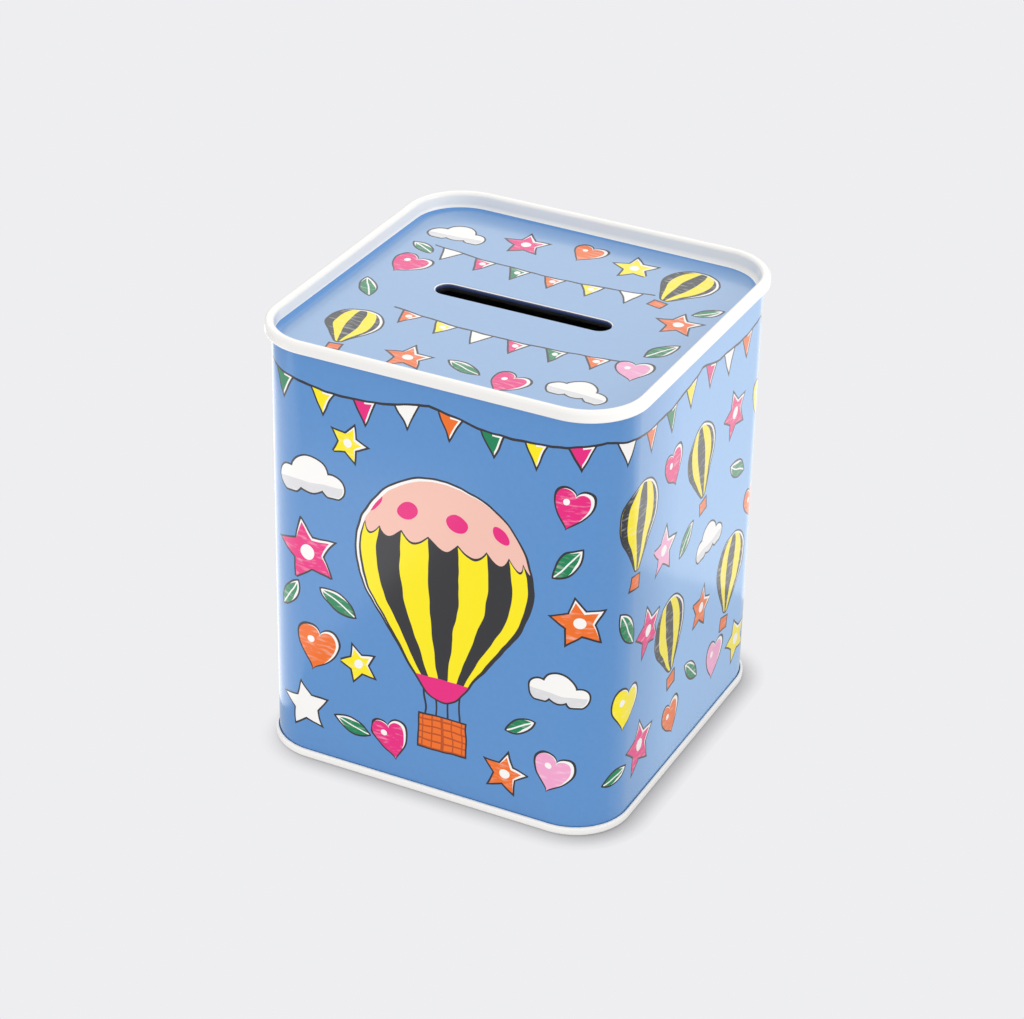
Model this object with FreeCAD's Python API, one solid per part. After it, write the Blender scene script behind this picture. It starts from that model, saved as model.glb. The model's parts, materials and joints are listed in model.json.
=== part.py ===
"""Square tin money box: a lock-seamed tinplate wall, two seamed ends and a pull-out stopper.

Millimetres, +Z up. The origin is at the middle of the base, on the surface that the box stands on.
The front faces -Y, the coin slot runs along X, and the wall's lock seam is at the back, on +Y.
"""

import math
import os

import FreeCAD
import Part

# Overall sizes, over the wall's outer faces and from rim to rim
BODY_WIDTH = 78.4
BODY_DEPTH = 78.4
HEIGHT = 95.5
CORNER_RADIUS = 11.5

# Tinplate and the play between its layers in every seam
SHEET = 0.25
SEAM_GAP = 0.08

# The rolled seams that hold the ends on
TOP_SEAM_HEIGHT = 2.4
TOP_CREST_BEND = 0.6
TOP_RIM_ROOM = 0.35
COVER_HOOK = 0.9
BASE_SEAM_HEIGHT = 1.8
BASE_CREST_BEND = 0.4
BASE_HOOK_BEND = 0.2
BASE_TUCK_BEND = 0.3
BASE_TUCK_GAP = 0.2

# The two end panels, sunk inside their rims
TOP_RECESS = 3.7
BASE_RECESS = 4.0
PANEL_BEND = 1.5
PANEL_MARGIN = 3.0

# Coin slot, measured between its turned-down lips
SLOT_LENGTH = 38.4
SLOT_WIDTH = 4.8
SLOT_LIP = 1.6
SLOT_BEND = 0.5
SLOT_X = -0.6
SLOT_Y = 1.6

# Lock seam of the wall, with its hooks kept clear of the end panels
LOCK_WIDTH = 3.6
LOCK_HOOK_END = 0.5
LOCK_JOGGLE = 1.1
LOCK_BEND = 0.35
LOCK_CLEARANCE = 0.6

# Stopper and its hole
HOLE_DIAMETER = 36.0
HOLE_LIP = 1.8
HOLE_BEND = 0.5
STOPPER_CLEARANCE = 0.05
STOPPER_FLANGE_DIAMETER = 43.0
STOPPER_FLANGE = 1.5
STOPPER_NECK = 6.5
STOPPER_WALL = 1.5
STOPPER_ROOF = 1.4
STOPPER_LEAD = 0.8
STOPPER_EDGE = 0.5
GRIP_WIDTH = 4.5
GRIP_RISE = 0.6
GRIP_EDGE = 0.8

# Places in a seam, outward from the wall's outer face to the middle of each layer
PITCH = SHEET + SEAM_GAP
WALL_LAYER = -SHEET / 2
CHUCK_LAYER = WALL_LAYER - PITCH
COVER_HOOK_LAYER = WALL_LAYER + PITCH
TOP_RIM_LAYER = WALL_LAYER + 3 * PITCH + TOP_RIM_ROOM
BASE_RIM_LAYER = WALL_LAYER + 2 * BASE_HOOK_BEND + PITCH

UP = FreeCAD.Vector(0, 0, 1)
CENTRE = FreeCAD.Vector(0, 0, 0)


def in_section(u, v):
    """A point of an upright section: u outward, v up."""
    return FreeCAD.Vector(u, 0, v)


def in_plan(u, v):
    """A point of a plan, seen from above."""
    return FreeCAD.Vector(u, v, 0)


def unit(start, end):
    """The direction from one point to another, as a pair."""
    length = math.hypot(end[0] - start[0], end[1] - start[1])
    return (end[0] - start[0]) / length, (end[1] - start[1]) / length


def sheet_side(corners, bends, shift, place):
    """Edges of one face of a bent sheet, shifted to the left of its middle line."""
    ways = [unit(a, b) for a, b in zip(corners, corners[1:])]
    edges = []
    here = place(corners[0][0] - ways[0][1] * shift, corners[0][1] + ways[0][0] * shift)
    for corner, bend, way_in, way_out in zip(corners[1:-1], bends, ways, ways[1:]):
        turn = way_in[0] * way_out[1] - way_in[1] * way_out[0]
        side = math.copysign(1.0, turn)
        angle = math.atan2(abs(turn), way_in[0] * way_out[0] + way_in[1] * way_out[1])
        reach = bend * math.tan(angle / 2)
        middle = (
            corner[0] - way_in[0] * reach - way_in[1] * bend * side,
            corner[1] - way_in[1] * reach + way_in[0] * bend * side,
        )
        radius = (bend - shift * side) * side
        normals = [(way_in[1], -way_in[0]), (way_out[1], -way_out[0])]
        half_way = unit((0, 0), (normals[0][0] + normals[1][0], normals[0][1] + normals[1][1]))
        first, half, last = (
            place(middle[0] + n[0] * radius, middle[1] + n[1] * radius)
            for n in (normals[0], half_way, normals[1])
        )
        if first.distanceToPoint(here) > Part.Precision.confusion():
            edges.append(Part.LineSegment(here, first).toShape())
        edges.append(Part.Arc(first, half, last).toShape())
        here = last
    end = place(corners[-1][0] - ways[-1][1] * shift, corners[-1][1] + ways[-1][0] * shift)
    edges.append(Part.LineSegment(here, end).toShape())
    return edges


def sheet_face(corners, bends, place):
    """The cut face of a bent sheet: the corners of its middle line, and the bend at each inner one."""
    left = sheet_side(corners, bends, SHEET / 2, place)
    right = sheet_side(corners, bends, -SHEET / 2, place)
    caps = [
        Part.LineSegment(a.Vertexes[i].Point, b.Vertexes[i].Point).toShape()
        for a, b, i in ((left[0], right[0], 0), (left[-1], right[-1], -1))
    ]
    return Part.Face(Part.Wire(Part.__sortEdges__(left + right + caps)))


def joined(solids):
    """One solid from several that touch or overlap."""
    return solids[0].multiFuse(solids[1:]).removeSplitter().Solids[0]


def ring(section, width, depth, corner):
    """A section carried round a rounded rectangle. Its u is measured outward from the rectangle."""
    middle_x = width / 2 - corner
    middle_y = depth / 2 - corner
    middles = [
        FreeCAD.Vector(x * middle_x, y * middle_y, 0) for x, y in ((1, 1), (-1, 1), (-1, -1), (1, -1))
    ]
    section = section.translated(FreeCAD.Vector(corner, 0, 0))
    solids = []
    for k in range(4):
        quarter = section.revolve(CENTRE, UP, 90)
        quarter.rotate(CENTRE, UP, 90 * k)
        solids.append(quarter.translated(middles[k]))
        run = middles[k] - middles[k - 1]
        if run.Length > Part.Precision.confusion():
            side = section.rotated(CENTRE, UP, 90 * k).translated(middles[k - 1])
            solids.append(side.extrude(run))
    return joined(solids)


def rounded_plate(width, depth, corner, bottom, thickness):
    """A flat plate with rounded corners."""
    x, y = width / 2, depth / 2
    outline = []
    for k, (sx, sy) in enumerate(((1, 1), (-1, 1), (-1, -1), (1, -1))):
        middle = FreeCAD.Vector(sx * (x - corner), sy * (y - corner), bottom)
        arc = Part.makeCircle(corner, middle, UP, 90 * k, 90 * (k + 1))
        outline.append(arc)
    for a, b in zip(list(outline), outline[1:] + outline[:1]):
        start, end = a.Vertexes[-1].Point, b.Vertexes[0].Point
        if start.distanceToPoint(end) > Part.Precision.confusion():
            outline.append(Part.LineSegment(start, end).toShape())
    face = Part.Face(Part.Wire(Part.__sortEdges__(outline)))
    return face.extrude(UP * thickness)


def hook_section(crest, inward, seam_height, hook_bend, wall_end):
    """The wall's turned-out edge inside a seam. inward is -1 below a top crest and +1 above a base one."""
    hook = WALL_LAYER + 2 * hook_bend
    flange = crest + inward * (SHEET + SEAM_GAP + SHEET / 2)
    hook_end = crest + inward * (seam_height - SHEET - SEAM_GAP)
    corners = [(hook, hook_end), (hook, flange), (WALL_LAYER, flange), (WALL_LAYER, wall_end)]
    return sheet_face(corners, [hook_bend, hook_bend], in_section)


def end_blank(crest, inward, recess, rim, crest_bend, tuck, tuck_bends):
    """A whole end before its opening is cut: the seamed edge and the flat panel that it frames.

    tuck holds the corners that follow the rim, under the wall's own hook.
    """
    panel = crest + inward * (recess + SHEET / 2)
    top = crest + inward * SHEET / 2
    corners = [(-PANEL_MARGIN, panel), (CHUCK_LAYER, panel), (CHUCK_LAYER, top), (rim, top), *tuck]
    section = sheet_face(corners, [PANEL_BEND, crest_bend, crest_bend, *tuck_bends], in_section)
    plate = rounded_plate(
        BODY_WIDTH - 2 * PANEL_MARGIN,
        BODY_DEPTH - 2 * PANEL_MARGIN,
        CORNER_RADIUS - PANEL_MARGIN,
        panel - SHEET / 2,
        SHEET,
    )
    return joined([ring(section, BODY_WIDTH, BODY_DEPTH, CORNER_RADIUS), plate])


def body_wall():
    """The wall: one strip bent round the box, hooked to itself at the back, its ends turned out."""
    low = BASE_RECESS + SHEET + LOCK_CLEARANCE
    high = HEIGHT - TOP_RECESS - SHEET - LOCK_CLEARANCE
    x = BODY_WIDTH / 2 - SHEET / 2
    y = BODY_DEPTH / 2 - SHEET / 2
    layers = [y - k * PITCH for k in range(4)]
    half = LOCK_WIDTH / 2
    joggle = half + 2 * PITCH + LOCK_BEND
    corners = [
        (-half + LOCK_HOOK_END, layers[1]),
        (half + PITCH, layers[1]),
        (half + PITCH, layers[3]),
        (-joggle, layers[3]),
        (-joggle - LOCK_JOGGLE, layers[0]),
        (-x, y),
        (-x, -y),
        (x, -y),
        (x, y),
        (-half - PITCH, layers[0]),
        (-half - PITCH, layers[2]),
        (half - LOCK_HOOK_END, layers[2]),
    ]
    round_bend = CORNER_RADIUS - SHEET / 2
    bends = [PITCH] * 2 + [LOCK_BEND] * 2 + [round_bend] * 4 + [PITCH] * 2
    strip = sheet_face(corners, bends, in_plan).extrude(UP * (high - low))
    sections = [
        hook_section(HEIGHT, -1, TOP_SEAM_HEIGHT - SHEET / 2, PITCH, high),
        hook_section(0, 1, BASE_SEAM_HEIGHT, BASE_HOOK_BEND, low),
    ]
    edges = [ring(section, BODY_WIDTH, BODY_DEPTH, CORNER_RADIUS) for section in sections]
    return joined([strip.translated(UP * low), *edges])


def top_panel():
    """The top end, with the coin slot cut in its sunk panel and the slot's edge turned down inside."""
    bottom = HEIGHT - TOP_SEAM_HEIGHT + SHEET / 2
    tuck = [(TOP_RIM_LAYER, bottom), (COVER_HOOK_LAYER, bottom), (COVER_HOOK_LAYER, bottom + COVER_HOOK)]
    blank = end_blank(HEIGHT, -1, TOP_RECESS, TOP_RIM_LAYER, TOP_CREST_BEND, tuck, [PITCH, PITCH])
    middle = HEIGHT - TOP_RECESS - SHEET / 2
    rim = SHEET / 2 + SLOT_BEND
    cut = rounded_plate(
        SLOT_LENGTH + 2 * rim, SLOT_WIDTH + 2 * rim, SLOT_WIDTH / 2 + rim, middle - SHEET, 2 * SHEET
    )
    lip_section = sheet_face(
        [(rim, middle), (SHEET / 2, middle), (SHEET / 2, middle + SHEET / 2 - SLOT_LIP)],
        [SLOT_BEND],
        in_section,
    )
    lip = ring(lip_section, SLOT_LENGTH, SLOT_WIDTH, SLOT_WIDTH / 2)
    place = FreeCAD.Vector(SLOT_X, SLOT_Y, 0)
    return joined([blank.cut(cut.translated(place)), lip.translated(place)])


def base_panel():
    """The base end, with the stopper's hole and the hole's edge turned up inside."""
    top = BASE_SEAM_HEIGHT - SHEET / 2
    tuck = [(BASE_RIM_LAYER, top), (BASE_TUCK_GAP, top)]
    blank = end_blank(0, 1, BASE_RECESS, BASE_RIM_LAYER, BASE_CREST_BEND, tuck, [BASE_TUCK_BEND])
    middle = BASE_RECESS + SHEET / 2
    radius = HOLE_DIAMETER / 2
    rim = radius + SHEET / 2 + HOLE_BEND
    cut = Part.makeCylinder(rim, 2 * SHEET, FreeCAD.Vector(0, 0, middle - SHEET))
    lip_section = sheet_face(
        [(rim, middle), (radius + SHEET / 2, middle), (radius + SHEET / 2, middle - SHEET / 2 + HOLE_LIP)],
        [HOLE_BEND],
        in_section,
    )
    return joined([blank.cut(cut), lip_section.revolve(CENTRE, UP, 360)])


def stopper():
    """The plastic stopper: a flange under the base panel, a neck in the hole and a grip bar in its well."""
    seat = BASE_RECESS
    foot = seat - STOPPER_FLANGE
    head = seat + STOPPER_NECK
    neck = HOLE_DIAMETER / 2 - STOPPER_CLEARANCE
    flange = STOPPER_FLANGE_DIAMETER / 2
    well = neck - STOPPER_WALL
    profile = [
        (0, head),
        (neck - STOPPER_LEAD, head),
        (neck, head - STOPPER_LEAD),
        (neck, seat),
        (flange, seat),
        (flange, foot + STOPPER_EDGE),
        (flange - STOPPER_EDGE, foot),
        (well + STOPPER_EDGE, foot),
        (well, foot + STOPPER_EDGE),
        (well, head - STOPPER_ROOF),
        (0, head - STOPPER_ROOF),
        (0, head),
    ]
    outline = Part.makePolygon([in_section(u, v) for u, v in profile])
    cup = Part.Face(outline).revolve(CENTRE, UP, 360)
    bar_foot = foot + GRIP_RISE
    bar = Part.makeBox(
        2 * neck,
        GRIP_WIDTH,
        head - STOPPER_ROOF - bar_foot,
        FreeCAD.Vector(-neck, -GRIP_WIDTH / 2, bar_foot),
    )
    low_edges = [
        e for e in bar.Edges if abs(e.CenterOfMass.z - bar_foot) < GRIP_EDGE / 2 and e.Length > GRIP_WIDTH
    ]
    bar = bar.makeFillet(GRIP_EDGE, low_edges)
    core = Part.makeCylinder(well + STOPPER_WALL / 2, head - foot, FreeCAD.Vector(0, 0, foot))
    return joined([cup, bar.common(core)])


def main():
    os.makedirs("parts", exist_ok=True)
    pieces = {
        "body_wall": body_wall(),
        "top_panel": top_panel(),
        "base_panel": base_panel(),
        "stopper": stopper(),
    }
    for name, shape in pieces.items():
        shape.exportStep(f"parts/{name}.step")
        box = shape.optimalBoundingBox(False)
        size = " x ".join(f"{length:.2f}" for length in (box.XLength, box.YLength, box.ZLength))
        print(f"{name}: {size} mm, z {box.ZMin:.2f} to {box.ZMax:.2f}, {shape.Volume:.1f} mm3")


main()
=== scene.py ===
# %% [markdown]
# A tin money box
#
# The real object is a small square tin: a printed wall, two white ends rolled on to it and a plastic
# stopper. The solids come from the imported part, so this script gives them clean meshes, printed and
# varnished surfaces, a pale studio floor and the light and camera of a product photograph.

# %% Load the frame
import json
import math

import bmesh
import bpy
from mathutils import Matrix, Vector

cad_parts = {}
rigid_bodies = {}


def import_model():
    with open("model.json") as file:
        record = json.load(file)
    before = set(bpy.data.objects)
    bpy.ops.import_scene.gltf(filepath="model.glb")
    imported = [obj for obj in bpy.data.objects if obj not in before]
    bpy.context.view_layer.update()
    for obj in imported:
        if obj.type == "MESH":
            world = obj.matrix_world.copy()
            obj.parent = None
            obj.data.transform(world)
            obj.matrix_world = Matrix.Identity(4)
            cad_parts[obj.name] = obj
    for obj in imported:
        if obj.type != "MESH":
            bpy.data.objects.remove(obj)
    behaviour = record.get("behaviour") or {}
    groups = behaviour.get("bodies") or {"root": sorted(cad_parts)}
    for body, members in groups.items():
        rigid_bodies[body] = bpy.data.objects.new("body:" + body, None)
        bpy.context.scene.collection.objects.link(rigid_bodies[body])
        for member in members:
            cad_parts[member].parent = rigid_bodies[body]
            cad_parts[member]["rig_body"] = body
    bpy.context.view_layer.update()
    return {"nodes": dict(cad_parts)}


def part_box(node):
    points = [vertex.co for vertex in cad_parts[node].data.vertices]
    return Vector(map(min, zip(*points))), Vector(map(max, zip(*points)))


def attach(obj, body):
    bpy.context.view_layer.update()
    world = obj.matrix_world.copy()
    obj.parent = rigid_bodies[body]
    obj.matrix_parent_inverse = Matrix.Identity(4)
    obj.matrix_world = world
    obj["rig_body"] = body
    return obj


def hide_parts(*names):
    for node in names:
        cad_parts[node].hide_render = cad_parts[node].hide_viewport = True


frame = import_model()
print("pieces in the frame:", sorted(frame["nodes"]))

# %% [markdown]
# Sizes come first. The print is laid out in millimetres on the wall as if it were unrolled, so the
# script needs the wall's half width and corner radius, as in the part's source. One side of the tin,
# from the middle of one corner to the middle of the next, is the repeat of the layout.

# %% Sizes in millimetres
MM = 0.001
WALL_HALF = 39.2
CORNER = 11.5
FLAT_HALF = WALL_HALF - CORNER
SIDE = 2 * FLAT_HALF + CORNER * math.pi / 2
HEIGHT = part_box("top_panel")[1][2] / MM
SLOT_MIDDLE = (-0.6, 1.6)
SLOT_SIZE = (38.4, 4.8)
print(f"one side of the print is {SIDE:.1f} mm wide and the tin is {HEIGHT:.1f} mm high")

# %% [markdown]
# A printer's palette: a few flat inks on white tinplate, and four blues that are painted sheen and
# painted shade. Ink colours are usually known as screen values from 0 to 255, and the shader works
# with linear light, so one small function converts them.


# %% Inks
def ink(red, green, blue):
    """A linear colour from screen values."""

    def linear(part):
        return part / 12.92 if part <= 0.04045 else ((part + 0.055) / 1.055) ** 2.4

    return (*(linear(value / 255) for value in (red, green, blue)), 1.0)


BLUE = ink(92, 145, 204)
# Painted sheen: the pale blue of the wall's sides.
WALL_SHEEN_BLUE = ink(148, 191, 238)
# Painted sheen: the pale middle of the top's panel.
PANEL_SHEEN_BLUE = ink(147, 179, 218)
# Painted shade: the deeper blue along the panel's edge and towards the back.
SHADED_EDGE_BLUE = ink(98, 152, 213)
# Painted shade: the dark blue of the slot's lip.
LIP_SHADE_BLUE = ink(58, 72, 118)
WHITE = ink(251, 249, 245)
GREY = ink(196, 198, 206)
CHARCOAL = ink(46, 46, 50)
YELLOW = ink(255, 236, 0)
PINK = ink(236, 30, 128)
ORANGE = ink(243, 112, 24)
RUST = ink(190, 78, 16)
GREEN = ink(8, 132, 84)
PEACH = ink(247, 196, 180)
ROSE = ink(245, 166, 206)
TINPLATE = ink(196, 196, 194)
DULL_TIN = ink(150, 150, 150)
print("inks are ready")

# %% [markdown]
# Shader maths reads best as ordinary expressions. This class wraps one output socket. An operator on
# it adds a Math node, and the method called node adds any other kind of node. With it a drawing can be
# written as a function of position, the way a plotter would see it.


# %% Expressions that add nodes
def chosen(sockets, key):
    """The live socket that has a name or a place."""
    live = [socket for socket in sockets if socket.enabled]
    return live[key] if isinstance(key, int) else next(s for s in live if s.name == key)


class Value:
    """One output socket of a node tree."""

    def __init__(self, socket):
        self.socket = socket
        self.tree = socket.id_data

    def node(self, kind, settings, inputs, output=0):
        """One output of a new node. Settings are set first, then sockets, by name or by place."""
        new = self.tree.nodes.new(kind)
        for key, setting in settings.items():
            setattr(new, key, setting)
        for key, value in inputs.items():
            socket = chosen(new.inputs, key)
            if isinstance(value, Value):
                self.tree.links.new(value.socket, socket)
            else:
                socket.default_value = value
        return Value(chosen(new.outputs, output))

    def math(self, operation, *others):
        inputs = dict(enumerate((self, *others)))
        return self.node("ShaderNodeMath", {"operation": operation}, inputs)

    def vector(self, operation, other):
        inputs = {0: self, 1: other}
        return self.node("ShaderNodeVectorMath", {"operation": operation}, inputs)

    def __add__(self, other):
        return self.math("ADD", other)

    def __radd__(self, other):
        return self.math("ADD", other)

    def __sub__(self, other):
        return self.math("SUBTRACT", other)

    def __rsub__(self, other):
        return (self * -1.0).math("ADD", other)

    def __mul__(self, other):
        return self.math("MULTIPLY", other)

    def __rmul__(self, other):
        return self.math("MULTIPLY", other)

    def __truediv__(self, other):
        return self.math("DIVIDE", other)

    def __mod__(self, other):
        return self.math("FLOORED_MODULO", other)

    def __abs__(self):
        return self.math("ABSOLUTE")

    def __lt__(self, other):
        return self.math("LESS_THAN", other)

    def __gt__(self, other):
        return self.math("GREATER_THAN", other)

    def parts(self):
        """The three parts of a vector or a colour."""
        split = self.node("ShaderNodeSeparateXYZ", {}, {0: self})
        return [Value(socket) for socket in split.socket.node.outputs]


def pick(kind, mask, below, above):
    """above where mask is 1 and below where it is 0. kind is FLOAT, VECTOR or RGBA."""
    inputs = {"Factor": mask, "A": below, "B": above}
    return mask.node("ShaderNodeMix", {"data_type": kind}, inputs)


def paint(mask, below, above):
    """One colour laid over another where mask is 1."""
    return pick("RGBA", mask, below, above)


def least(first, *others):
    for other in others:
        first = first.math("MINIMUM", other)
    return first


def most(first, *others):
    for other in others:
        first = first.math("MAXIMUM", other)
    return first


def limited(value, low, high):
    return least(most(value, low), high)


def reach(x, y):
    """The length of a flat vector."""
    return y.math("MULTIPLY_ADD", y, x * x).math("SQRT")


print("expressions are ready")

# %% [markdown]
# Each motif is a function that says how far a point is outside its outline, and is negative inside.
# That one number gives the fill, the ink line round it and the white edge where the colour is printed
# a little out of place. The motifs are plain ones: star, heart, leaf, cloud, pennant and balloon,
# about one unit in radius.

# %% Outlines of the motifs
CLOUD_PUFFS = [(-0.56, -0.12, 0.36), (-0.02, 0.1, 0.5), (0.56, -0.14, 0.34)]
CLOUD_FLOOR = -0.44
PENNANT_TOP = 0.7
THINNEST = 0.0001


def star(x, y, inner=0.5, grow=0.06):
    """A five-pointed star with its tip up."""
    fifth = 2 * math.pi / 5
    turn = abs((x.math("ARCTAN2", y) + fifth / 2) % fifth - fifth / 2)
    radius = reach(x, y)
    edge = (inner * math.sin(fifth / 2), 1 - inner * math.cos(fifth / 2))
    size = math.hypot(*edge)
    along = (radius * turn.math("COSINE") - 1) * (edge[0] / size)
    return radius * turn.math("SINE") * (edge[1] / size) + along - grow


def heart(x, y, cleft=0.72, squash=1.08, drop=0.22, slope=0.9, radius=0.8):
    """A circle that is lifted more, the farther it is from the middle line."""
    lift = abs(x).math("SQRT") * cleft
    return reach(x, y * squash - lift + drop) * slope - radius


def leaf(x, y, half_width=0.42):
    """What two equal circles share, with its tips up and down."""
    radius = (1 + half_width**2) / (2 * half_width)
    return reach(abs(x) + (radius - half_width), y) - radius


def cloud(x, y):
    """Three round puffs that stand on a flat floor."""
    puffs = [reach(x - across, y - up) - radius for across, up, radius in CLOUD_PUFFS]
    return most(least(*puffs), CLOUD_FLOOR - y)


def pennant(x, y, half_width=0.72, drop=1.5):
    """A flag with its point down, hung from its straight edge."""
    size = math.hypot(half_width, drop)
    side = (abs(x) * drop - (y + drop - PENNANT_TOP) * half_width) * (1 / size)
    return most(side, y - PENNANT_TOP)


def envelope(x, y, big, small, drop):
    """A balloon's outline: a large circle with a small one below it, and the lines that touch both.

    Also gives how far across its width a point is, from -1 to 1, for stripes that follow its curve.
    """
    sine = (big - small) / drop
    cosine = math.sqrt(1 - sine**2)
    down = y * -1.0
    across = abs(x)
    place = down * cosine - across * sine
    line = across * cosine + down * sine - big
    top = reach(across, down) - big
    mouth = reach(across, down - drop) - small
    upper = pick("FLOAT", place < 0.0, line, top)
    outside = pick("FLOAT", place > cosine * drop, upper, mouth)
    round_width = most(big * big - down * down, THINNEST).math("SQRT")
    cone_width = (big - down * sine) * (1 / cosine)
    width = pick("FLOAT", down > big * sine, round_width, cone_width)
    return outside, x / width


def gore_place(share, count):
    """Place across a balloon counted in stripes, which narrow towards its sides."""
    return limited(share, -1.0, 1.0).math("ARCSINE") * (count / math.pi)


def gores(share, count):
    """1 on every second stripe of a balloon."""
    return (gore_place(share, count) + 0.5) % 2.0 < 1.0


def block(x, y, half_width, half_height):
    """A rectangle about the origin."""
    return most(abs(x) - half_width, abs(y) - half_height)


print("motifs are ready")

# %% [markdown]
# A fill is never quite flat: the brush leaves paler streaks. A noise that is stretched along one
# direction gives them, and a ramp keeps only its peaks.

# %% Brushed fills
GRAIN = 0.9
GRAIN_DETAIL = 3.0
BRUSH_TURN = (0, 0, 0.9)
BRUSH_SCALE = (0.35, 1.6, 1.0)
BRUSH_PEAKS = (0.52, 0.72)
BRUSH_PALE = 0.3


def noise(point, scale, detail, output=0):
    """The value of a noise, or another of its outputs."""
    inputs = {"Vector": point, "Scale": scale, "Detail": detail}
    return point.node("ShaderNodeTexNoise", {}, inputs, output)


def ramp(value, start, end):
    """0 at start, 1 at end and even between them."""
    inputs = {"Value": value, "From Min": start, "From Max": end}
    return value.node("ShaderNodeMapRange", {}, inputs)


def brushed(point, colour):
    """A fill with the paler streaks of a brush."""
    inputs = {"Vector": point, "Rotation": BRUSH_TURN, "Scale": BRUSH_SCALE}
    slanted = point.node("ShaderNodeMapping", {}, inputs)
    pale = ramp(noise(slanted, GRAIN, GRAIN_DETAIL), *BRUSH_PEAKS) * BRUSH_PALE
    return paint(pale, colour, WHITE)


print("brushed fills are ready")

# %% [markdown]
# A scatter of small motifs would need a copy of every outline at every place. It is cheaper to find
# which place is nearest first, carry that place's numbers along, and draw each outline once about it.
# Every place is a row: position, size, turn in degrees, kind and ink.

# %% Small motifs about their places
KINDS = ["star", "heart", "leaf", "cloud", "balloon", "pennant"]
LINE = 0.2
SLIP_WAY = (0.8, 0.6)
SLIP = 0.5
SMALL_BALLOON = (0.66, 0.15, 0.92)
SMALL_BALLOON_RISE = 0.28
SMALL_GORES = 6
SMALL_BASKET = (0.17, 0.14)
SMALL_BASKET_DROP = 1.02
SMALL_BASKET_TOP = -0.8
LEAF_VEIN = 0.16
CLOUD_SHADE_TOP = -0.12
CLOUD_SHADE = 0.55
WHITE_DOTS = {"heart": (-0.3, 0.3, 0.15), "star": (0.0, 0.0, 0.24), "pennant": (0.0, 0.22, 0.2)}


def nearest(point, places):
    """Local x and y, size and kind and ink, of the place whose motif is nearest to a point."""
    best = spot = about = colour = None
    for u, v, size, turn, kind, shade in places:
        span = point.vector("DISTANCE", (u, v, 0)) / size
        new_spot = (u, v, math.radians(turn))
        new_about = (size, KINDS.index(kind), 0)
        if best is None:
            best, spot, about, colour = span, new_spot, new_about, shade
            continue
        wins = span < best
        best = least(best, span)
        spot = pick("VECTOR", wins, spot, new_spot)
        about = pick("VECTOR", wins, about, new_about)
        colour = paint(wins, colour, shade)
    size, kind, _ = about.parts()
    turn = spot.parts()[2]
    across, up, _ = point.vector("SUBTRACT", spot).parts()
    cosine, sine = turn.math("COSINE"), turn.math("SINE")
    x = (across * cosine + up * sine) / size
    y = (up * cosine - across * sine) / size
    return x, y, size, kind, colour


def scatter(ground, point, places):
    """The ground colour with small motifs printed on it."""
    x, y, size, kind, colour = nearest(point, places)
    is_kind = {name: kind.math("COMPARE", index, 0.5) for index, name in enumerate(KINDS)}
    balloon, share = envelope(x, y - SMALL_BALLOON_RISE, *SMALL_BALLOON)
    basket = block(x, y + SMALL_BASKET_DROP, *SMALL_BASKET)
    outlines = {
        "star": star(x, y),
        "heart": heart(x, y),
        "leaf": leaf(x, y),
        "cloud": cloud(x, y),
        "balloon": least(balloon, basket),
        "pennant": pennant(x, y),
    }
    outside = outlines["star"]
    for name in KINDS[1:]:
        outside = pick("FLOAT", is_kind[name], outside, outlines[name])
    outside = outside * size
    colour = paint(is_kind["balloon"] * gores(share, SMALL_GORES), colour, CHARCOAL)
    colour = paint(is_kind["balloon"] * (y < SMALL_BASKET_TOP), colour, ORANGE)
    colour = paint(is_kind["leaf"] * (abs(x) * size < LEAF_VEIN), colour, WHITE)
    colour = paint(is_kind["cloud"] * ((y < CLOUD_SHADE_TOP) * CLOUD_SHADE), colour, GREY)
    for name, (across, up, radius) in WHITE_DOTS.items():
        dot = reach(x - across, y - up) < radius
        colour = paint(is_kind[name] * dot, colour, WHITE)
    slip = most((x * SLIP_WAY[0] + y * SLIP_WAY[1]) / reach(x, y), 0.0) * SLIP
    ground = paint(outside < LINE, ground, CHARCOAL)
    ground = paint(outside < -LINE, ground, WHITE)
    return paint(outside + slip < -LINE, ground, brushed(point, colour))


print("the scatter is ready")

# %% [markdown]
# The wall's print is laid out on the unrolled sheet: u runs round the tin from the middle of the
# front and v is the height. Two sides of the tin are drawn and the other two repeat them half a turn
# round, as tins often do. The unrolled position is worked out from the point itself: the nearest point
# of the flat-sided core, and the angle about it at a corner.


# %% The unrolled sheet
def unrolled(x, y):
    """Distance round the wall from the middle of the front, for the half that a point is on."""
    half = (x > y) * 2.0 - 1.0
    x, y = x * half, y * half
    core_x = limited(x, -FLAT_HALF, FLAT_HALF)
    core_y = limited(y, -FLAT_HALF, FLAT_HALF)
    angle = (x - core_x).math("ARCTAN2", core_y - y)
    return core_x + core_y + FLAT_HALF + angle * CORNER


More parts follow.
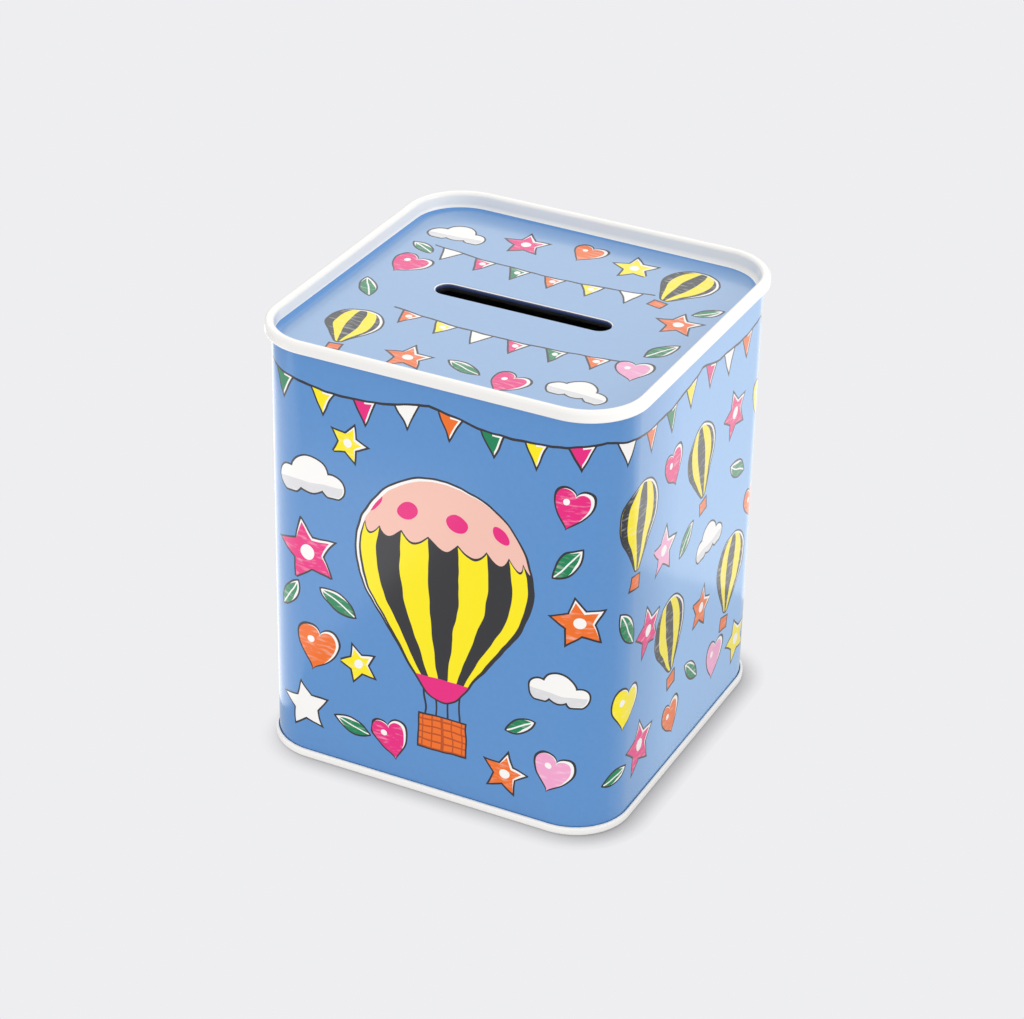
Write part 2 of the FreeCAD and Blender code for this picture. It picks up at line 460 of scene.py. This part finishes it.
WALL_PLACES = [
    (-26, 66, 8.5, 4, "cloud", WHITE),
    (29, 33, 7.0, -5, "cloud", WHITE),
    (-27, 49, 6.6, 12, "star", PINK),
    (-20, 39, 4.6, 60, "leaf", GREEN),
    (-31.5, 38, 4.2, -30, "leaf", GREEN),
    (-25, 27, 5.4, -12, "heart", ORANGE),
    (-15.5, 26, 4.0, 20, "star", YELLOW),
    (-28, 12.5, 5.2, 8, "star", WHITE),
    (-17, 11, 4.4, 75, "leaf", GREEN),
    (-8, 10.5, 4.6, 14, "heart", PINK),
    (17.5, 10.5, 4.6, -10, "star", ORANGE),
    (28, 13.5, 4.8, -14, "heart", ROSE),
    (21, 22.5, 3.6, -62, "leaf", GREEN),
    (32.5, 49, 5.2, 10, "star", ORANGE),
    (30, 62, 4.6, -40, "leaf", GREEN),
    (30.5, 74, 4.6, -12, "heart", PINK),
    (-17.5, 76, 4.0, -18, "star", YELLOW),
    (47, 66, 11.0, -8, "balloon", YELLOW),
    (62, 72, 4.6, 16, "heart", PINK),
    (59, 55, 5.0, -6, "star", ROSE),
    (43.5, 45.5, 4.8, 30, "leaf", GREEN),
    (53, 40, 5.2, 10, "star", PINK),
    (44, 27, 5.0, -12, "heart", YELLOW),
    (64, 32, 10.5, 8, "balloon", YELLOW),
    (51, 14, 5.6, 4, "star", PINK),
    (41.5, 12, 3.6, -70, "leaf", GREEN),
    (66.5, 12, 4.4, 12, "heart", ORANGE),
    (76, 18, 4.4, 50, "leaf", GREEN),
    (70, 52, 4.2, -50, "leaf", GREEN),
    (76, 66, 10.0, 10, "balloon", YELLOW),
    (82, 46, 7.0, 3, "cloud", WHITE),
    (79.5, 31, 4.6, -14, "star", ORANGE),
    (92, 70, 5.0, 14, "star", PINK),
    (95, 56, 4.4, 60, "leaf", GREEN),
    (94, 31, 10.5, -9, "balloon", YELLOW),
    (88, 14, 4.8, -10, "heart", ROSE),
    (100, 12.5, 5.0, 14, "star", YELLOW),
    (104, 44, 4.4, 10, "heart", ORANGE),
    (105, 68, 4.6, -12, "heart", YELLOW),
]
print(len(WALL_PLACES), "places on the wall")

# %% [markdown]
# The front's main motif is a hot-air balloon. Its gores follow its curve, its crown is a plain cap
# with a scalloped edge and a row of dots, and a woven basket hangs on ropes below it. It is drawn in
# layers, from the ropes at the back to the coloured cloth in front.

# %% The main balloon
BALLOON_MIDDLE = (3.5, 53.5)
BALLOON_RADIUS = 19.5
BALLOON_MOUTH = 4.6
BALLOON_DROP = 26.0
BALLOON_GORES = 9
BALLOON_LINE = 1.2 * LINE
BALLOON_SLIP = 0.7
CROWN = 6.5
CROWN_LINE = 0.5
SCALLOP = 2.2
DOT_SPREAD = 4.2
DOT_RISE = 4.6
DOT_RADIUS = 1.9
SKIRT = 0.6
ROPES = (3.9, 1.4)
ROPE_HALF = 0.22
BASKET_DROP = 38.5
BASKET_SIZE = (4.6, 3.4)
BASKET_GROW = 0.7
WEAVE_ROW = 1.7
WEAVE_ROW_LINE = 0.4
WEAVE_STAKE = 2.1
WEAVE_STAKE_LINE = 0.3


def main_balloon(ground, u, v):
    """The ground colour with the large balloon printed on it."""
    x, y = u - BALLOON_MIDDLE[0], v - BALLOON_MIDDLE[1]
    outside, share = envelope(x, y, BALLOON_RADIUS, BALLOON_MOUTH, BALLOON_DROP)
    colour = paint(gores(share, BALLOON_GORES), YELLOW, CHARCOAL)
    swing = gore_place(share, BALLOON_GORES)
    scallop = abs((swing * math.pi).math("COSINE")) * SCALLOP
    crown = y + scallop - CROWN
    colour = paint(crown > -CROWN_LINE, colour, CHARCOAL)
    colour = paint(crown > 0.0, colour, PEACH)
    dot_x = (swing + 0.5) % 2.0 - 1.0
    dots = reach(dot_x * DOT_SPREAD, y - CROWN - DOT_RISE) < DOT_RADIUS
    colour = paint(dots, colour, PINK)
    colour = paint(y + BALLOON_DROP < SKIRT, colour, PINK)
    rope = least(*(abs(abs(x) - place) for place in ROPES))
    ropes = (rope < ROPE_HALF) * (y < -BALLOON_DROP) * (y > -BASKET_DROP)
    ground = paint(ropes, ground, CHARCOAL)
    basket = block(x, y + BASKET_DROP, *BASKET_SIZE) - BASKET_GROW
    rows = y % WEAVE_ROW < WEAVE_ROW_LINE
    stakes = abs(x) % WEAVE_STAKE < WEAVE_STAKE_LINE
    ground = paint(basket < LINE, ground, CHARCOAL)
    ground = paint(basket < -LINE, ground, paint(most(rows, stakes), ORANGE, RUST))
    ground = paint(outside < BALLOON_LINE, ground, CHARCOAL)
    ground = paint(outside < -LINE, ground, WHITE)
    slip = most((y * SLIP_WAY[1] - x * SLIP_WAY[0]) / BALLOON_RADIUS, 0.0) * BALLOON_SLIP
    return paint(outside + slip < -LINE, ground, colour)


print("the main balloon is ready")

# %% [markdown]
# Round the top of the wall runs a string of pennants. It needs one outline only, because position
# along the string can be wrapped back into one repeat, and the number of the repeat gives the ink.

# %% The string of pennants
PENNANT_PITCH = SIDE / 8
PENNANT_SIZE = 3.5
PENNANT_SLIP = 0.35
PENNANT_INKS = [YELLOW, PINK, WHITE, ORANGE, GREEN]
SWAG = 4 * PENNANT_PITCH
SWAG_SAG = 2.4
STRING_HEIGHT = 88.4
STRING_LINE = 0.28


def pennant_string(ground, u, v):
    """The ground colour with the wall's string of pennants printed on it."""
    along = u + SIDE
    number = (along / PENNANT_PITCH).math("FLOOR")
    x = ((along / PENNANT_PITCH).math("FRACT") - 0.5) * (PENNANT_PITCH / PENNANT_SIZE)
    sag = abs((along * (math.pi / SWAG)).math("SINE")) * SWAG_SAG
    hang = v + sag - STRING_HEIGHT
    outside = pennant(x, hang / PENNANT_SIZE + PENNANT_TOP) * PENNANT_SIZE
    turn = number % len(PENNANT_INKS)
    colour = PENNANT_INKS[0]
    for step, shade in enumerate(PENNANT_INKS[1:], 1):
        colour = paint(turn.math("COMPARE", step, 0.5), colour, shade)
    ground = paint(abs(hang) < STRING_LINE, ground, CHARCOAL)
    ground = paint(outside < LINE, ground, CHARCOAL)
    ground = paint(outside < -LINE, ground, WHITE)
    return paint(outside + (x > 0.0) * PENNANT_SLIP < -LINE, ground, colour)


print("the string of pennants is ready")

# %% [markdown]
# Printed tinplate is ink under clear varnish on a white coat. A Principled surface with a clear coat
# gives that directly. Two things keep it from looking like a flat screen: the varnish is a little
# rougher in places, and thin sheet is never quite flat, so a faint bump bends what it reflects.

# %% Varnish
VARNISH = 0.34
FULL_COAT = 1.0
COAT = {"Coat Roughness": 0.16, "Coat IOR": 1.4, "Specular IOR Level": 0.1}
PATCH_SCALE = 0.35
PATCH_DEPTH = 0.12
SLOW_WAVE = 0.045
SLOW_HEIGHT = 6.0
FINE_WAVE = 1.4
FINE_HEIGHT = 0.2
RIPPLE = {"Strength": 0.15, "Distance": 0.0001}


def feed(value, socket):
    value.tree.links.new(value.socket, socket)


def new_material(name, roughness, coat):
    """A material, its coated surface and its Object coordinates in millimetres."""
    material = bpy.data.materials.new(name)
    material.use_nodes = True
    tree = material.node_tree
    surface = tree.nodes["Principled BSDF"]
    levels = {"Roughness": roughness, "Coat Weight": coat, **COAT}
    for socket, level in levels.items():
        surface.inputs[socket].default_value = level
    place = Value(tree.nodes.new("ShaderNodeTexCoord").outputs["Object"])
    scale = {0: place, "Scale": 1 / MM}
    point = place.node("ShaderNodeVectorMath", {"operation": "SCALE"}, scale)
    return material, surface, point


def patchy(tone, surface):
    """Roughness that follows a noise about the surface's own level."""
    socket = surface.inputs["Roughness"]
    feed((tone - 0.5) * PATCH_DEPTH + socket.default_value, socket)


def varnished(point, surface):
    """A clear coat that is a little rougher in places, over sheet that is never quite flat."""
    patchy(noise(point, PATCH_SCALE, GRAIN_DETAIL), surface)
    slow = noise(point, SLOW_WAVE, 1.0) * SLOW_HEIGHT
    fine = noise(point, FINE_WAVE, 2.0) * FINE_HEIGHT
    bump = point.node("ShaderNodeBump", {}, {**RIPPLE, "Height": slow + fine})
    feed(bump, surface.inputs["Normal"])


def print_or_metal(surface, colour, bare, metal):
    """Coated print, and bare metal where the mask called bare is 1."""
    feed(paint(bare, colour, metal), surface.inputs["Base Color"])
    feed(bare, surface.inputs["Metallic"])
    feed(1.0 - bare, surface.inputs["Coat Weight"])


print("varnish is ready")

# %% [markdown]
# The printed wall is blue all round, deeper at the front and back, and paler along the sides, where
# the pale blue is a painted sheen. Drawn lines are never quite true, so a slow noise moves every
# outline a little, and a fine one makes the inks uneven. Inside the tin there is no print: there the
# sheet is bare and looks like metal. A face's own direction tells the two sides of the sheet apart.

# %% Printed wall
WAVE_SCALE = 0.16
WALL_WAVE = 1.3
DEEP_GRAIN = 0.05
SHEEN_GRAIN = 0.03
SHEEN_RISE = (-34.0, -8.0)
SHEEN_FALL = (36.5, 29.0)


def wavy(point, u, v, amount):
    """u and v moved a little by a slow noise, as a hand-drawn line is."""
    push_u, push_v, _ = noise(point, WAVE_SCALE, 1.0, "Color").parts()
    u = u + (push_u - 0.5) * amount
    v = v + (push_v - 0.5) * amount
    flat = u.node("ShaderNodeCombineXYZ", {}, {0: u, 1: v})
    return u, v, flat


def uneven(tone, point, amount):
    """A flat ink that varies a little about its tone, as print does."""

    def level(share):
        return (*(part * share for part in tone[:3]), 1.0)

    return paint(noise(point, GRAIN, GRAIN_DETAIL), level(1 - amount), level(1 + amount))


def blue_ground(point, pale, deep_ink, sheen_ink):
    """A deep blue that turns to a paler painted sheen where the mask called pale is 1."""
    deep = uneven(deep_ink, point, DEEP_GRAIN)
    return paint(pale, deep, uneven(sheen_ink, point, SHEEN_GRAIN))


def face_direction(point):
    return point.node("ShaderNodeNewGeometry", {}, {}, "Normal")


def printed_wall():
    """Ink and varnish on the outside of the wall, and bare sheet inside."""
    material, surface, point = new_material("printed tinplate", VARNISH, FULL_COAT)
    x, y, z = point.parts()
    u, v, flat = wavy(point, unrolled(x, y), z, WALL_WAVE)
    from_side = u - SIDE
    # Painted sheen: the wall's sides turn to a paler blue that stands for reflected light.
    pale = least(ramp(from_side, *SHEEN_RISE), ramp(from_side, *SHEEN_FALL))
    colour = blue_ground(point, pale, BLUE, WALL_SHEEN_BLUE)
    colour = scatter(colour, flat, WALL_PLACES)
    colour = pennant_string(colour, u, v)
    colour = main_balloon(colour, u, v)
    bare = face_direction(point).vector("DOT_PRODUCT", point) < 0.0
    print_or_metal(surface, colour, bare, TINPLATE)
    varnished(point, surface)
    return material


WALL_PRINT = printed_wall()
print(len(WALL_PRINT.node_tree.nodes), "nodes in the wall's print")

# %% [markdown]
# The layout of the top has small motifs and two short strings of pennants, which stand round the
# slot. Each string is a shallow bow, and its pennants are rows of the same table as the motifs.

# %% Layout of the top
TOP_PLACES = [
    (24, 24.5, 9.0, -10, "balloon", YELLOW),
    (-26, -23, 8.6, 8, "balloon", YELLOW),
    (-27.5, 25.5, 7.0, 4, "cloud", WHITE),
    (25, -26, 7.0, -4, "cloud", WHITE),
    (-13, 28, 4.6, 12, "star", PINK),
    (0, 30, 4.0, -8, "heart", ORANGE),
    (11.5, 28.5, 4.4, 16, "star", YELLOW),
    (-30, 8, 4.6, -14, "heart", PINK),
    (-32, -5, 4.2, 30, "leaf", GREEN),
    (30, 9, 4.4, 10, "star", ORANGE),
    (32, -3, 4.2, -30, "leaf", GREEN),
    (30.5, -13.5, 4.2, 14, "heart", ROSE),
    (-10, -29, 4.6, 10, "star", ORANGE),
    (1.5, -27.5, 4.2, 70, "leaf", GREEN),
    (11.5, -29.5, 4.4, -12, "heart", PINK),
    (-31, 16.5, 3.4, 60, "leaf", GREEN),
    (33, 16.5, 3.4, -50, "leaf", GREEN),
]
BOWS = [(-4.5, 17.5), (2.0, -12.0)]
BOW_HALF = 25.0
BOW_SAG = 2.3
BOW_LINE = 0.25
BOW_INKS = [WHITE, ORANGE, PINK, YELLOW, GREEN]
BOW_PENNANTS = 6
BOW_PITCH = 8.2
BOW_PENNANT_SIZE = 3.4
BOW_TURN = 0.35
BOW_HANG = 1.2

for row, (middle, height) in enumerate(BOWS):
    for step in range(BOW_PENNANTS):
        across = (step - (BOW_PENNANTS - 1) / 2) * BOW_PITCH
        drop = BOW_SAG * (1 - (across / BOW_HALF) ** 2)
        place = (middle + across, height - drop - BOW_HANG)
        tint = BOW_INKS[(step * 2 + row) % len(BOW_INKS)]
        TOP_PLACES.append((*place, BOW_PENNANT_SIZE, across * BOW_TURN, "pennant", tint))
print(len(TOP_PLACES), "places on the top")

# %% [markdown]
# The top end is white all over. Its sunk panel is printed blue, with a painted sheen that makes the
# middle paler and painted shade that deepens it along its edge and towards the back. The print stops a
# little way up the bend to the rim, so a height decides where it ends, with a slight tilt because
# print and press never line up quite. The slot's bent edge carries a painted white highlight, and the
# lip below it is painted dark as shade. The underside and the back of the lip are bare metal.

# %% Printed top
TOP_WAVE = 1.1
PRINT_INSET = 0.2
PRINT_DEPTH = 3.15
PRINT_TILT = 0.006
EDGE_SHADE_FADE = (1.3, 2.9)
BACK_SHADE_FADE = (0.0, 8.5)
SLOT_REACH = 1.0
SLOT_HIGHLIGHT_DEPTHS = (3.76, 3.92)
LIP_DEPTH = 4.0
LIP_BACK = 0.12
LIP_PRINT_DEPTH = 4.6
FLAT_INSET = 4.0
FACES_DOWN = -0.3


def inside_wall(x, y):
    """Distance inside the wall's outer face, in plan."""
    core_x = abs(x) - FLAT_HALF
    core_y = abs(y) - FLAT_HALF
    corner = reach(most(core_x, 0.0), most(core_y, 0.0))
    return CORNER - (corner + least(most(core_x, core_y), 0.0))


def outside_slot(x, y):
    """Distance outside the slot's opening, in plan."""
    straight = (SLOT_SIZE[0] - SLOT_SIZE[1]) / 2
    across = most(abs(x - SLOT_MIDDLE[0]) - straight, 0.0)
    return reach(across, y - SLOT_MIDDLE[1]) - SLOT_SIZE[1] / 2


def bow_lines(ground, u, v):
    """The ground colour with the two strings drawn on it."""
    for middle, height in BOWS:
        along = u - middle
        bow = along * along * (BOW_SAG / BOW_HALF**2) + (height + BOW_HANG - BOW_SAG)
        string = (abs(v - bow) < BOW_LINE) * (abs(along) < BOW_HALF)
        ground = paint(string, ground, CHARCOAL)
    return ground


def printed_top():
    """White enamel with a printed panel, and bare sheet underneath."""
    material, surface, point = new_material("printed top", VARNISH, FULL_COAT)
    x, y, z = point.parts()
    u, v, flat = wavy(point, x, y, TOP_WAVE)
    inside = inside_wall(x, y)
    slot = outside_slot(x, y)
    by_slot = slot < SLOT_REACH
    highlight_top, highlight_foot = (HEIGHT - depth for depth in SLOT_HIGHLIGHT_DEPTHS)
    # Painted sheen and painted shade: paler in the middle, deeper blue along the panel's edge and
    # back.
    pale = least(ramp(inside, *EDGE_SHADE_FADE), ramp(WALL_HALF - y, *BACK_SHADE_FADE))
    ground = blue_ground(point, pale, SHADED_EDGE_BLUE, PANEL_SHEEN_BLUE)
    ground = scatter(bow_lines(ground, u, v), flat, TOP_PLACES)
    # Painted shade: the slot's lip below its bent edge is dark blue.
    ground = paint(by_slot * (z < highlight_foot), ground, LIP_SHADE_BLUE)
    # Painted highlight: a thin white band along the slot's bent edge.
    edge_highlight = by_slot * (z < highlight_top) * (z > highlight_foot)
    sunk = z + (x + y) * PRINT_TILT < HEIGHT - PRINT_DEPTH
    panel = (inside > PRINT_INSET) * sunk * (1.0 - edge_highlight)
    on_flat = inside > FLAT_INSET
    underside = on_flat * (face_direction(point).parts()[2] < FACES_DOWN)
    lip_back = slot * (z < HEIGHT - LIP_DEPTH) > LIP_BACK
    lip_foot = on_flat * (z < HEIGHT - LIP_PRINT_DEPTH)
    bare = most(underside, lip_back, lip_foot)
    print_or_metal(surface, paint(panel, WHITE, ground), bare, DULL_TIN)
    varnished(point, surface)
    return material


TOP_PRINT = printed_top()
print(len(TOP_PRINT.node_tree.nodes), "nodes in the top's print")

# %% [markdown]
# The base end is the same white enamel with no print, and the stopper is soft white plastic, which is
# duller and lets a little light into itself.

# %% White enamel and plastic
ENAMEL_GLOSS = 0.3
ENAMEL_COAT = 0.8
ENAMEL_GRAIN = 0.02
PLASTIC_GLOSS = 0.48
PLASTIC_SCALE = 0.5
PLASTIC_TONES = (ink(232, 232, 228), ink(242, 242, 240))
PLASTIC_DEPTH = 0.002


def white_enamel():
    """Plain enamel, as on the base end."""
    material, surface, point = new_material("white enamel", ENAMEL_GLOSS, ENAMEL_COAT)
    feed(uneven(WHITE, point, ENAMEL_GRAIN), surface.inputs["Base Color"])
    varnished(point, surface)
    return material


def soft_plastic():
    """The stopper's plastic, with no coat."""
    material, surface, point = new_material("soft plastic", PLASTIC_GLOSS, 0.0)
    tone = noise(point, PLASTIC_SCALE, GRAIN_DETAIL)
    feed(paint(tone, *PLASTIC_TONES), surface.inputs["Base Color"])
    patchy(tone, surface)
    surface.inputs["Subsurface Weight"].default_value = 0.15
    surface.inputs["Subsurface Radius"].default_value = (PLASTIC_DEPTH,) * 3
    return material


ENAMEL = white_enamel()
PLASTIC = soft_plastic()
print("plain finishes are ready")

# %% [markdown]
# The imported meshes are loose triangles. A copy with its triangles merged shades smoothly where sheet
# is bent and stays crisp at cut edges, once edges sharper than a set angle are marked and large faces
# lead the normals.

# %% Finished pieces
SHARP = math.radians(40)
MERGE_DISTANCE = 1e-6
SLIVER = 1e-7
LARGE_FACES_LEAD = 100


def finished(node, name, material):
    """A merged, smoothly shaded copy of a CAD node, standing for it on the same body."""
    mesh = bpy.data.meshes.new(name)
    work = bmesh.new()
    work.from_mesh(frame["nodes"][node].data)
    bmesh.ops.remove_doubles(work, verts=work.verts, dist=MERGE_DISTANCE)
    bmesh.ops.dissolve_degenerate(work, edges=work.edges, dist=SLIVER)
    for face in work.faces:
        face.smooth = True
    work.to_mesh(mesh)
    work.free()
    mesh.set_sharp_from_angle(angle=SHARP)
    mesh.materials.append(material)
    piece = bpy.data.objects.new(name, mesh)
    bpy.context.scene.collection.objects.link(piece)
    weighted = piece.modifiers.new("even normals", "WEIGHTED_NORMAL")
    weighted.keep_sharp = True
    weighted.weight = LARGE_FACES_LEAD
    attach(piece, frame["nodes"][node]["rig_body"])
    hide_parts(node)
    print(f"{name}: {len(mesh.polygons)} faces")
    return piece


wall = finished("body_wall", "printed_wall", WALL_PRINT)
top = finished("top_panel", "printed_top", TOP_PRINT)
base = finished("base_panel", "enamelled_base", ENAMEL)
finished("stopper", "plastic_stopper", PLASTIC)

# %% [markdown]
# When the print is baked to a picture, the wall should use that picture well. The automatic way cuts
# the thin sheet into many small islands, so the wall gets its own map: the printed side unrolled in
# two rows, one for each half of the tin, and the hidden side squeezed into a strip beside them.

# %% Unrolled map of the wall
MAP_SIZE = 205.0
MAP_ROW = 101.0
MAP_EDGE = 3.0
STRIP_START = 0.76
STRIP_WIDTH = 0.225
SKIN = 0.05
UPRIGHT = 0.5


def depth_in_wall(x, y):
    """Distance in from the wall's outer face, in plan."""
    out_x, out_y = abs(x) - FLAT_HALF, abs(y) - FLAT_HALF
    corner = math.hypot(max(out_x, 0.0), max(out_y, 0.0))
    return CORNER - corner - min(max(out_x, out_y), 0.0)


def round_place(x, y, half):
    """Distance round the wall from the middle of the front, or of the back where half is -1."""
    x, y = x * half, y * half
    core_x = min(max(x, -FLAT_HALF), FLAT_HALF)
    core_y = min(max(y, -FLAT_HALF), FLAT_HALF)
    return core_x + core_y + FLAT_HALF + math.atan2(x - core_x, core_y - y) * CORNER


def unroll_map(piece):
    """The wall's own map, with the printed faces flat and to scale."""
    work = bmesh.new()
    work.from_mesh(piece.data)
    layer = work.loops.layers.uv.new("OFBake")
    printed = 0
    for face in work.faces:
        middle = face.calc_center_median() / MM
        half = 1 if middle.x > middle.y else -1
        on_skin = abs(depth_in_wall(middle.x, middle.y)) < SKIN
        shown = on_skin and abs(face.normal.z) < UPRIGHT
        printed += shown
        for loop in face.loops:
            x, y, z = loop.vert.co / MM
            deep = 0.0 if shown else depth_in_wall(x, y)
            across = round_place(x, y, half) + SIDE / 2 + MAP_EDGE + deep / 2
            up = z - deep + MAP_EDGE / 2 + MAP_ROW * (half < 0)
            share = across / MAP_SIZE
            if not shown:
                share = STRIP_START + STRIP_WIDTH * across / (2 * SIDE + 2 * MAP_EDGE)
            loop[layer].uv = (share, up / MAP_SIZE)
    work.to_mesh(piece.data)
    work.free()
    print(printed, "faces of the wall carry print")


unroll_map(wall)

# %% [markdown]
# The studio floor is one pale sheet, wide enough to fill the picture. It gives its own even tone, so
# no lamp can leave a patch on it, and a soft painted shadow is drawn where the tin stands, on the side
# away from the light. Ambient occlusion with a tilted direction finds where that painted shadow goes.
# The sheet is clear from below, so that the base can be looked at, and it doesn't show in the varnish.

# %% Floor
FLOOR_HALF = 4.0
FLOOR_TONE = ink(238, 238, 240)
SHADE_TONE = ink(120, 120, 124)
SHADE_REACH = 0.005
SHADE_SIDE = (-0.62, 0.3, 0.72)
SHADE_SAMPLES = 16


def floor_material():
    """An even sheet with a soft painted shadow where the tin touches it, and clear from below."""
    material = bpy.data.materials.new("floor")
    material.use_nodes = True
    tree = material.node_tree
    surface = tree.nodes["Principled BSDF"]
    surface.inputs["Base Color"].default_value = (0.0, 0.0, 0.0, 1.0)
    surface.inputs["Specular IOR Level"].default_value = 0.0
    surface.inputs["Emission Strength"].default_value = 1.0
    below = Value(tree.nodes.new("ShaderNodeNewGeometry").outputs["Backfacing"])
    tilted = below.node("ShaderNodeCombineXYZ", {}, dict(enumerate(SHADE_SIDE)))
    near = {"Distance": SHADE_REACH, "Normal": tilted}
    lit = below.node("ShaderNodeAmbientOcclusion", {"samples": SHADE_SAMPLES}, near, "AO")
    # Painted shadow: the emission darkens towards the shade tone where the tin is near.
    feed(paint(lit, SHADE_TONE, FLOOR_TONE), surface.inputs["Emission Color"])
    clear = tree.nodes.new("ShaderNodeBsdfTransparent")
    sides = {0: below, 1: Value(surface.outputs[0]), 2: Value(clear.outputs[0])}
    mixed = below.node("ShaderNodeMixShader", {}, sides)
    feed(mixed, tree.nodes["Material Output"].inputs["Surface"])
    return material


def floor_sheet():
    mesh = bpy.data.meshes.new("floor")
    work = bmesh.new()
    bmesh.ops.create_grid(work, x_segments=1, y_segments=1, size=FLOOR_HALF)
    work.to_mesh(mesh)
    work.free()
    sheet = bpy.data.objects.new("floor", mesh)
    bpy.context.scene.collection.objects.link(sheet)
    mesh.materials.append(floor_material())
    sheet.visible_glossy = False


floor_sheet()
print("the floor is in place")

# %% [markdown]
# A large lamp stands behind on the left and a weaker one on the right. Two more light only some of
# the pieces, as a photographer's flags would have it: one fills the sunk panel, and one the front.
# Two strips that lie low beside the tin show only as gloss along the edges of its wall.

# %% Lamps
MIDDLE = (0.0, 0.0, 0.05)
STRIP_HEIGHT = 0.002
GLOSS_STRIPS = {
    "low right": ((0.1275, 0.305), (0.295, 0.49), 0.28),
    "low left": ((-0.1175, 0.0), (0.145, 0.3), 0.15),
}


def lamp(name, place, aim, size, power, gloss_only=False, only=()):
    """A rectangular lamp that the camera doesn't see.

    One for gloss only shows in reflections alone, and one that is flagged off lights only some pieces.
    """
    light = bpy.data.lights.new(name, "AREA")
    light.shape = "RECTANGLE"
    light.size, light.size_y = size
    light.energy = power
    body = bpy.data.objects.new(name, light)
    body.location = place
    body.rotation_euler = (Vector(aim) - Vector(place)).to_track_quat("-Z", "Y").to_euler()
    body.visible_camera = False
    body.visible_diffuse = not gloss_only
    if only:
        lit = bpy.data.collections.new(name)
        for piece in only:
            lit.objects.link(piece)
        body.light_linking.receiver_collection = lit
    bpy.context.scene.collection.objects.link(body)


lamp("back", (-0.62, 1.25, 0.86), MIDDLE, (1.6, 0.9), 2.4)
lamp("right", (1.4, -0.2, 0.35), MIDDLE, (0.8, 0.8), 1.0)
lamp("recess", (1.4, 0.1, 0.5), MIDDLE, (0.8, 0.8), 4.0, only=[top])
lamp("front", (0.0, -1.2, 0.3), MIDDLE, (0.8, 0.6), 1.3, only=[wall, base])
for name, (place, size, power) in GLOSS_STRIPS.items():
    lamp(name, (*place, STRIP_HEIGHT), (*place, 1.0), size, power, gloss_only=True)
print("lamps are in place")

# %% [markdown]
# Soft light comes from all round, as in a white tent. It is dimmer low at the back, where a tent is
# open, and from below, so that the gloss on the top and on the rims has something to show.

# %% Soft light from all round
ZENITH = (0.92, 0.92, 0.92, 1.0)
HORIZON = (0.96, 0.96, 0.98, 1.0)
BEHIND = (0.6, 0.6, 0.61, 1.0)
BELOW = (0.62, 0.62, 0.62, 1.0)
BEHIND_WAY = (-0.44, 0.9)
BEHIND_SPREAD = (0.0, 0.7)
BEHIND_RISE = (0.45, 0.1)
ZENITH_RISE = (0.1, 0.7)


def studio_world():
    """Even light that falls off a little overhead, and more low at the back and below."""
    world = bpy.data.worlds.new("studio")
    world.use_nodes = True
    tree = world.node_tree
    way = Value(tree.nodes.new("ShaderNodeTexCoord").outputs["Generated"])
    right, back, height = way.parts()
    away = right * BEHIND_WAY[0] + back * BEHIND_WAY[1]
    behind = ramp(away, *BEHIND_SPREAD) * ramp(height, *BEHIND_RISE)
    tent = paint(ramp(height, *ZENITH_RISE), HORIZON, ZENITH)
    sky = paint(behind, tent, BEHIND)
    feed(paint(height < 0.0, sky, BELOW), tree.nodes["Background"].inputs["Color"])
    bpy.context.scene.world = world


studio_world()
print("soft light is in place")

# %% [markdown]
# The camera stands where the photographer's did: above and to the right of the front, a little turned
# about its own axis, with a long lens. Its place was found by fitting the outlines of the rims, the
# wall and the panel.

# %% Camera
AZIMUTH = math.radians(26.122)
ELEVATION = math.radians(29.571)
ROLL = math.radians(1.266)
DISTANCE = 0.64261
LENS = 110.244
SENSOR = 36.0
SHIFT = (-0.005496, -0.005748)


def place_camera():
    data = bpy.data.cameras.new("camera")
    data.lens = LENS
    data.sensor_width = SENSOR
    data.sensor_fit = "HORIZONTAL"
    data.shift_x, data.shift_y = SHIFT
    camera = bpy.data.objects.new("camera", data)
    level = math.cos(ELEVATION)
    back = Vector((math.sin(AZIMUTH) * level, -math.cos(AZIMUTH) * level, math.sin(ELEVATION)))
    right = Vector((math.cos(AZIMUTH), math.sin(AZIMUTH), 0.0))
    up = back.cross(right)
    turned = right * math.cos(ROLL) + up * math.sin(ROLL)
    upright = up * math.cos(ROLL) - right * math.sin(ROLL)
    axes = Matrix((turned, upright, back)).transposed().to_4x4()
    aim = Vector((0.0, 0.0, HEIGHT * MM / 2))
    camera.matrix_world = Matrix.Translation(aim + back * DISTANCE) @ axes
    bpy.context.scene.collection.objects.link(camera)
    bpy.context.scene.camera = camera
    return camera


camera = place_camera()
bpy.context.scene.view_settings.view_transform = "Standard"
print("camera at", [round(value, 4) for value in camera.matrix_world.translation])
